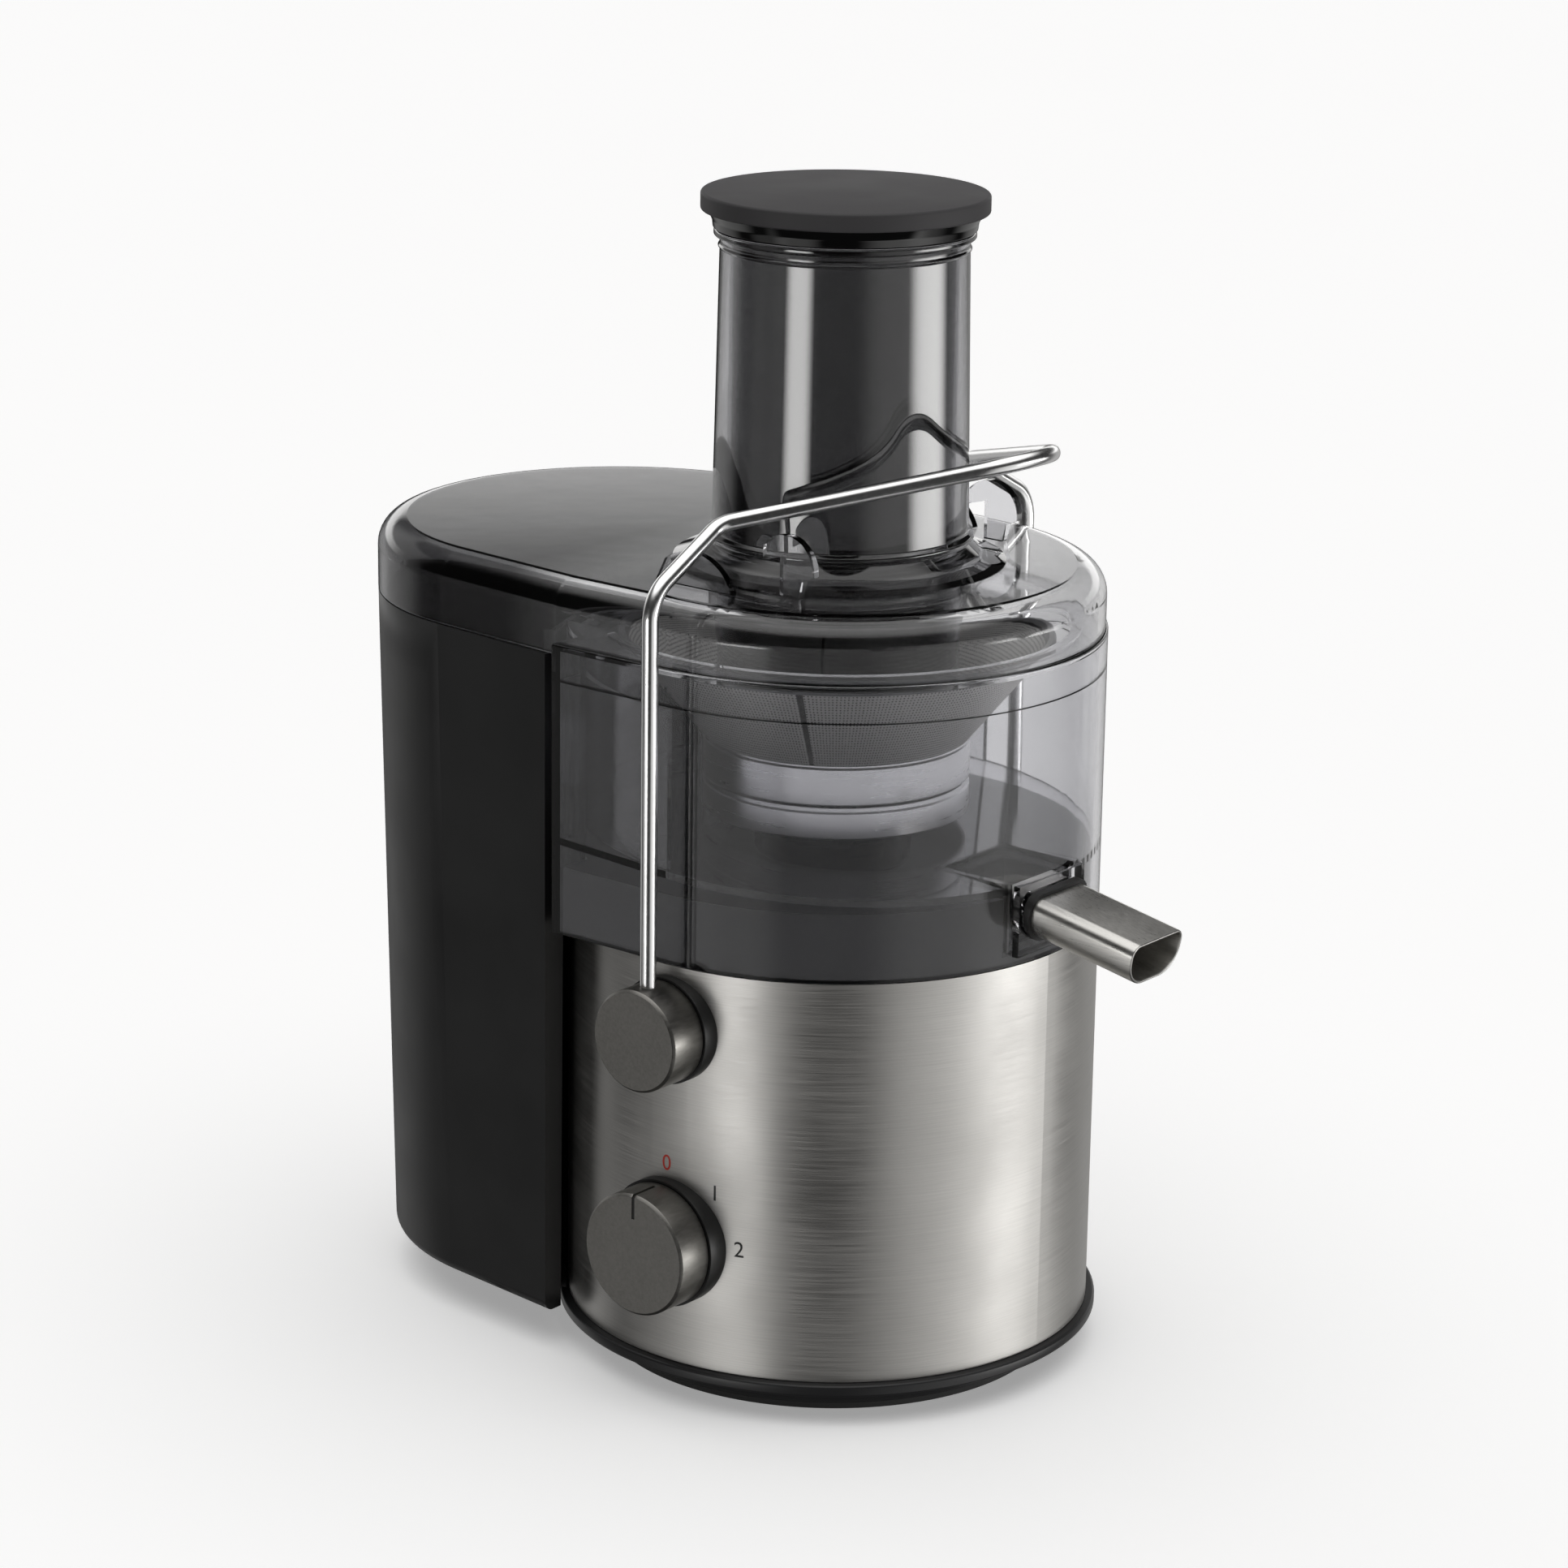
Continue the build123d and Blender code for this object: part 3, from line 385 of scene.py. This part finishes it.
def build_pusher():
    """Cap and long hollow body of the pusher, turned about the chute's axis."""
    cap_r, _, cap_z = extent("pusher_cap")[1]
    spigot_in, spigot_out = CAP_SPIGOT_R
    plate = [
        (0, 0, 0), (cap_r, 0, 1.0), (cap_r, -CAP_RIM_DROP, 0.7), (CAP_RIM_R, -CAP_RIM_DROP, 0.2),
        (CAP_RIM_R, -CAP_UNDER, 0), (spigot_out, -CAP_UNDER, 0), (spigot_out, -CAP_SPIGOT_DROP, 0.5),
        (spigot_in, -CAP_SPIGOT_DROP, 0.5), (spigot_in, -CAP_UNDER, 0), (0, -CAP_UNDER, 0),
    ]
    neck = [
        (45.4, -CAP_UNDER, 0), (43.6, -9.2, 2), (43.3, -CAP_NECK_DROP, 0.4),
        (CAP_NECK_R, -CAP_NECK_DROP, 0.4), (CAP_NECK_R, -CAP_UNDER, 0),
    ]
    for name, profile, slot in (
        ("pusher_cap_plate", plate, "cap_grey"),
        ("pusher_cap_neck", neck, "smoke_plastic"),
    ):
        outline = rounded([(r, cap_z + drop, corner) for r, drop, corner in profile])
        new_piece(name, *lathe(outline), "pusher", slot, replaces=["pusher_cap"])
    low, high = extent("pusher_body")
    bore_low, bore_high = PUSHER_BORE_R
    floor_z = low[2] + PUSHER_FLOOR_T
    body = rounded([
        (0, low[2], 0), (high[0] - 0.5, low[2], 1.8), (high[0], high[2], 0),
        (bore_high, high[2], 0), (bore_low, floor_z, 1), (0, floor_z, 0),
    ])
    new_piece("pusher_body_turned", *lathe(body), "pusher", "smoke_plastic", replaces=["pusher_body"])


# Chute; outlines hold (radius, height, corner radius)
CHUTE_BORE_R = 38.2
CHUTE_SKIRT_R = (40.4, 40.6)
CHUTE_FOOT_R = 42.3
CHUTE_TOP_R = 41.0
CHUTE_LIP_R = 41.7
CHUTE_RIM_IN = 1.4
CHUTE_BEAD_R = 44.4


def build_chute():
    """Clear chute in one skin: straight bore, lipped rim, bead and the flared foot on the lid."""
    low, high = extent("feed_tube")
    bottom, top = low[2], high[2]
    lid_top = extent("lid_cover")[1][2]
    flare = extent("tube_flare")[1][0]
    rim = high[0] - CHUTE_RIM_IN
    skirt_low, skirt_top = CHUTE_SKIRT_R
    inner_flare = [
        (CHUTE_BORE_R, bottom, 0.6), (skirt_low, bottom, 0.6), (skirt_top, lid_top + 5, 0.6),
        (45.5, lid_top + 1.4, 3), (flare - 4.3, lid_top - 2.3, 0), (flare - 4.1, lid_top, 0),
    ]
    outer_flare = [
        (flare, lid_top, 0), (flare, lid_top + 0.2, 0), (47.5, lid_top + 2.9, 6), (43.2, lid_top + 7.4, 0.4),
    ]
    bead = [
        (CHUTE_BEAD_R, lid_top + 7.8, 0.8), (CHUTE_BEAD_R, lid_top + 9.4, 0.8), (42.8, lid_top + 10.4, 0.6),
    ]
    barrel = [
        (CHUTE_FOOT_R, lid_top + 33, 20), (CHUTE_TOP_R, top - 6.6, 0.4), (CHUTE_LIP_R, top - 5.8, 0.4),
        (CHUTE_TOP_R, top - 5.0, 0.4), (CHUTE_TOP_R + 0.1, top - 2.7, 0.5),
        (rim, top - 2.2, 0.6), (rim, top, 0.9), (CHUTE_BORE_R, top, 0.9),
    ]
    outline = inner_flare + outer_flare + bead + barrel
    new_piece("chute_blown", *lathe(rounded(outline), segments=256), "root", "clear_plastic", "tube_plastic",
              replaces=["feed_tube", "tube_flare"])


# Spout; it slopes down from the bowl
SPOUT_H = 15.0
SPOUT_W = 28.5
SPOUT_T = 1.0
SPOUT_TOP_R = 4.0
SPOUT_LOW_R = 9.5
SPOUT_SLOPE = math.radians(10.8)


def build_spout():
    """Drawn steel spout with a rolled lip, nearly flat on top and round below."""
    low, high = extent("spout")
    lean, drop = math.cos(SPOUT_SLOPE), math.sin(SPOUT_SLOPE)
    half = SPOUT_H / 2
    root = Vector((low[0] + half * drop, 0, high[2] - half * lean))
    length = (high[0] - low[0] - SPOUT_H * drop) / lean
    lip = [(0, 0)] + [(length - 0.5 + 0.5 * math.sin(a), 0.5 * math.cos(a) - 0.5)
                      for a in (math.pi * k / 6 for k in range(7))] + [(0, -SPOUT_T)]
    rings = []
    for along, grow in lip:
        w, h = SPOUT_W / 2 + grow, half + grow
        r_top, r_low = SPOUT_TOP_R + grow, SPOUT_LOW_R + grow
        section = rounded([(-w, h, r_top), (w, h, r_top), (w, -h, r_low), (-w, -h, r_low)], steps=10)
        start = root + along * Vector((lean, 0, -drop))
        rings.append([tuple(start + Vector((v * drop, y, v * lean))) for y, v in section])
    new_piece("spout_drawn", *loft(rings), "root", "satin_steel", replaces=["spout"])


# Basket's carrier with its band and splined socket, and the drum above it
BAND_LOW_Z = 188.0
BAND_TOP_Z = 197.0
CARRIER_TOP_Z = 199.0
CARRIER_UNDER_Z = 196.0
JOINT_R = 44.4
BAND_BORE_R = 43.4
SOCKET_R = (13.9, 17.5)
SOCKET_LOW_Z = 187.0
SOCKET_TOP_Z = 198.0
CARRIER_CORNER_R = 0.3
DRUM_FLOOR_T = 1.3
DRUM_WALL = 1.5
DRUM_STEP = 0.7


def build_basket():
    """Spun basket below the mesh: the drum, and the carrier with its band under a recessed joint."""
    radius = extent("basket_base")[1][0]
    socket_in, socket_out = SOCKET_R
    carrier = [
        (0, CARRIER_TOP_Z), (JOINT_R, CARRIER_TOP_Z), (JOINT_R, BAND_TOP_Z + 0.4), (radius, BAND_TOP_Z),
        (radius, BAND_LOW_Z + 0.6), (radius - 0.6, BAND_LOW_Z), (BAND_BORE_R, BAND_LOW_Z),
        (BAND_BORE_R, CARRIER_UNDER_Z), (socket_out, CARRIER_UNDER_Z + 0.5), (socket_out, SOCKET_LOW_Z),
        (socket_in, SOCKET_LOW_Z), (socket_in, SOCKET_TOP_Z), (0, SOCKET_TOP_Z),
    ]
    carrier = rounded([(r, z, CARRIER_CORNER_R if r else 0) for r, z in carrier])
    new_piece("basket_carrier", *lathe(carrier), "spinner", "polished_steel", replaces=["basket_base"])
    (_, _, bottom), (_, _, top) = extent("basket_drum")
    drum = [
        (0, bottom, 0), (radius, bottom, 0.7), (radius, top - 1.2, 0.3),
        (radius - DRUM_STEP, top - 0.8, 0.3), (radius - DRUM_STEP, top, 0.2), (radius - DRUM_WALL, top, 0.2),
        (radius - DRUM_WALL, bottom + DRUM_FLOOR_T, 0.8), (0, bottom + DRUM_FLOOR_T, 0),
    ]
    drum = rounded(drum)
    new_piece("basket_drum_spun", *lathe(drum), "spinner", "polished_steel", replaces=["basket_drum"])


# Wire arm; the bail rises by its slope towards the tip
ROD_R = 2.7
LEG_TOP_Z = 278.0
LEG_BEND_R = 14
BAIL_Y = 67.0
BAIL_Z = 296.0
BAIL_BEND_R = 9
BAIL_TIP_R = 24.0
BAIL_SLOPE = 0.29


def build_arm():
    """Bent wire arm: two legs, two sloping shoulders and a V-shaped bail with a round tip."""
    low, high = extent("locking_arm")
    leg_y = high[1] - ROD_R
    hub_low, hub_high = extent("arm_hub_near")
    arm_x = (hub_low[0] + hub_high[0]) / 2
    tip_x = high[0] - ROD_R
    run = tip_x - BAIL_TIP_R - arm_x
    lean = math.atan2(BAIL_Y, run) - math.asin(BAIL_TIP_R / math.hypot(run, BAIL_Y))
    apex = BAIL_Y / math.tan(lean)
    near = [
        (arm_x, -leg_y, low[2], 0),
        (arm_x, -leg_y, LEG_TOP_Z, LEG_BEND_R),
        (arm_x, -BAIL_Y, BAIL_Z, BAIL_BEND_R),
    ]
    far = [(x, -y, z, corner) for x, y, z, corner in reversed(near)]
    tip = (arm_x + apex, 0, BAIL_Z + BAIL_SLOPE * apex, BAIL_TIP_R)
    path = rounded(near + [tip] + far, closed=False, steps=20)
    new_piece("arm_wire", *tube(path, ROD_R, 32), "arm", "chrome_wire", replaces=["locking_arm"])


DIGIT_HEIGHT = 5.4
DIGIT_SHARE = 0.7  # height of a figure as a share of the type size
DIGIT_RING = 26.7
INK_HALF = 0.03  # half of the ink's thickness
INK_GAP = 0.01  # between the steel and the ink

# Numbers round the dial: text, clock angle in degrees, slot and finish
DIGITS = [
    ("0", -2, "button_plastic", "print_red"),
    ("1", 42, "marker_black", "marker_black"),
    ("2", 87, "marker_black", "marker_black"),
]


def build_digits():
    """Printed numbers round the speed dial, bent on to the steel."""
    low, high = extent("speed_dial")
    centre_x, centre_z = (low[0] + high[0]) / 2, (low[2] + high[2]) / 2
    radius = extent("steel_sleeve")[1][0]
    middle = radius * math.asin(centre_x / radius)
    for text, clock, slot, finish in DIGITS:
        curve = bpy.data.curves.new("digit_curve_" + text, "FONT")
        curve.body = text
        curve.size = DIGIT_HEIGHT * MM / DIGIT_SHARE
        curve.align_x = "CENTER"
        curve.align_y = "CENTER"
        curve.extrude = INK_HALF * MM
        drawn = bpy.data.objects.new("digit_drawn_" + text, curve)
        mesh = bpy.data.meshes.new_from_object(drawn)
        bpy.data.objects.remove(drawn)
        out = middle + DIGIT_RING * math.sin(math.radians(clock))
        up = centre_z + DIGIT_RING * math.cos(math.radians(clock))
        verts = []
        for vert in mesh.vertices:
            turn = (out + vert.co.x / MM) / radius
            r = radius + INK_GAP + vert.co.z / MM + INK_HALF
            verts.append((r * math.sin(turn), -r * math.cos(turn), up + vert.co.y / MM))
        faces = [list(face.vertices) for face in mesh.polygons]
        bpy.data.meshes.remove(mesh)
        new_piece("dial_number_" + text, verts, faces, "root", slot, finish, sharp=30)


build_pusher()
build_chute()
build_spout()
build_basket()
build_arm()
build_digits()
for node in ("speed_dial", "arm_hub_near", "arm_hub_far", "base_plate", "hub_collars", "dial_bezel"):
    soften(node, 0.3)
soften("pulp_container", 0.6)


# ---- studio --------------------------------------------------------------

FLOOR_TONE = (0.955, 0.955, 0.96)
BACKDROP = (0.938, 0.938, 0.938)

# Softboxes of the studio: azimuth from the camera, half width, softness, level,
# and the lowest and highest elevation, all in degrees but the level.
SOFTBOXES = [
    (-41, 8, 7, 8.0, -13.5, -5),
    (-45, 14, 12, 0.5, -50, -11),
    (85, 12, 13, 8.0, -13.5, -5),
    (84, 17, 18, 0.33, -50, -11),
    (56, 20, 26, 0.7, -50, 6),
    (-72, 12, 12, 0.25, -50, 0),
    (180, 40, 20, 1.6, 3, 12.6),
    (-135, 20, 12, 0.4, -45, 30),
    (150, 16, 12, 0.4, -45, 2),
]
BOX_SOFT_DEG = 2  # softness of each softbox's upper and lower edge
TOP_LIGHT = 1.37
TOP_LIGHT_DEG = (38, 58)
FILL = 0.025
LIT_COLOUR = (1, 0.995, 0.985, 1)


def camera_direction(angle_deg):
    """Horizontal direction at an angle from the way to the camera, positive to the picture's right."""
    a = AZIMUTH + math.radians(angle_deg)
    return (math.sin(a), -math.cos(a), 0)


def build_world():
    """Studio: what the camera sees is an even backdrop, and all else sees the softboxes."""
    world = bpy.data.worlds.new("studio")
    world.use_nodes = True
    bpy.context.scene.world = world
    tree = world.node_tree
    tree.nodes.clear()
    way = add_node(tree, "ShaderNodeTexCoord").outputs["Generated"]
    flat = add_node(tree, "ShaderNodeVectorMath", {0: way, 1: (1, 1, 0)}, operation="MULTIPLY").outputs[0]
    flat = add_node(tree, "ShaderNodeVectorMath", {0: flat}, operation="NORMALIZE").outputs[0]
    height = add_node(tree, "ShaderNodeSeparateXYZ", {0: way}).outputs["Z"]

    def smooth(value, low, high, top=1.0):
        inputs = {0: value, 1: low, 2: high, 3: 0.0, 4: top}
        return add_node(tree, "ShaderNodeMapRange", inputs, interpolation_type="SMOOTHSTEP").outputs[0]

    def math_node(kind, a, b):
        return add_node(tree, "ShaderNodeMath", {0: a, 1: b}, operation=kind).outputs[0]

    total = smooth(height, *[math.sin(math.radians(deg)) for deg in TOP_LIGHT_DEG], TOP_LIGHT)
    for angle, half, soft, level, low, high in SOFTBOXES:
        toward = add_node(tree, "ShaderNodeVectorMath", {0: flat, 1: camera_direction(angle)},
                          operation="DOT_PRODUCT").outputs["Value"]
        edge = [math.cos(math.radians(max(0, min(180, half + s * soft)))) for s in (1, -1)]
        box = smooth(toward, edge[0], edge[1], level)
        for level_deg, way_in in ((low, BOX_SOFT_DEG), (high, -BOX_SOFT_DEG)):
            ends = [math.sin(math.radians(level_deg + turn)) for turn in (-way_in, way_in)]
            box = math_node("MULTIPLY", box, smooth(height, *ends))
        total = math_node("ADD", total, box)
    total = math_node("ADD", total, FILL)
    lit = add_node(tree, "ShaderNodeBackground", {"Color": LIT_COLOUR, "Strength": total})
    seen = add_node(tree, "ShaderNodeBackground", {"Color": (*BACKDROP, 1), "Strength": 1.0})
    rays = add_node(tree, "ShaderNodeLightPath").outputs
    away = add_node(tree, "ShaderNodeVectorMath", {0: flat, 1: camera_direction(180)},
                    operation="DOT_PRODUCT").outputs["Value"]
    through = math_node("MULTIPLY", rays["Is Transmission Ray"], smooth(away, 0.2, 0.6))
    direct = math_node("MAXIMUM", rays["Is Camera Ray"], through)
    both = add_node(tree, "ShaderNodeMixShader", {0: direct, 1: lit.outputs[0], 2: seen.outputs[0]})
    add_node(tree, "ShaderNodeOutputWorld", {0: both.outputs[0]})


FLOOR_REACH = 6.0
FLOOR_GLOW = 0.31


def build_floor():
    """Pale, even floor."""
    mesh = bpy.data.meshes.new("floor")
    corners = [(-1, -1), (1, -1), (1, 1), (-1, 1)]
    mesh.from_pydata([(x * FLOOR_REACH, y * FLOOR_REACH, 0) for x, y in corners], [], [(0, 1, 2, 3)])
    floor = bpy.data.objects.new("floor", mesh)
    bpy.context.scene.collection.objects.link(floor)
    mat, tree, shader = new_material("floor")
    coords = object_coords(tree)
    link(tree, tint(tree, noise(tree, coords, 0.002), [c * 0.995 for c in FLOOR_TONE], FLOOR_TONE),
         shader, "Base Color")
    shader.inputs["Roughness"].default_value = 0.9
    shader.inputs["Specular IOR Level"].default_value = 0.1
    shader.inputs["Emission Color"].default_value = (1, 1, 1, 1)
    shader.inputs["Emission Strength"].default_value = FLOOR_GLOW
    mesh.materials.append(mat)
    floor.visible_glossy = False
    floor.visible_shadow = False
    floor.visible_diffuse = False


CAMERA_PLACE = (0.9172, -1.1740, 0.6283)
CAMERA_PAN = math.radians(-0.668)
CAMERA_PITCH = math.radians(16.26)
CAMERA_ROLL = math.radians(0.829)
SENSOR_MM = 36
LENS_MM = 105.56
CLIP_START = 0.05


def build_camera():
    """Camera of the photograph: where it stands, where it looks and its lens."""
    place = Vector(CAMERA_PLACE)
    level = math.cos(CAMERA_PITCH)
    turn = Matrix.Rotation(AZIMUTH, 3, "Z")
    ahead = Vector((math.sin(CAMERA_PAN) * level, math.cos(CAMERA_PAN) * level, -math.sin(CAMERA_PITCH)))
    ahead = turn @ ahead
    side = turn @ Vector((math.cos(CAMERA_PAN), -math.sin(CAMERA_PAN), 0))
    side = Matrix.Rotation(-CAMERA_ROLL, 3, ahead) @ side
    up = side.cross(ahead)
    data = bpy.data.cameras.new("camera")
    data.sensor_width = SENSOR_MM
    data.lens = LENS_MM
    data.clip_start = CLIP_START
    camera = bpy.data.objects.new("camera", data)
    camera.matrix_world = Matrix((
        (side.x, up.x, -ahead.x, place.x),
        (side.y, up.y, -ahead.y, place.y),
        (side.z, up.z, -ahead.z, place.z),
        (0, 0, 0, 1),
    ))
    bpy.context.scene.collection.objects.link(camera)
    bpy.context.scene.camera = camera


build_world()
build_floor()
build_camera()
bpy.context.scene.view_settings.view_transform = "Standard"
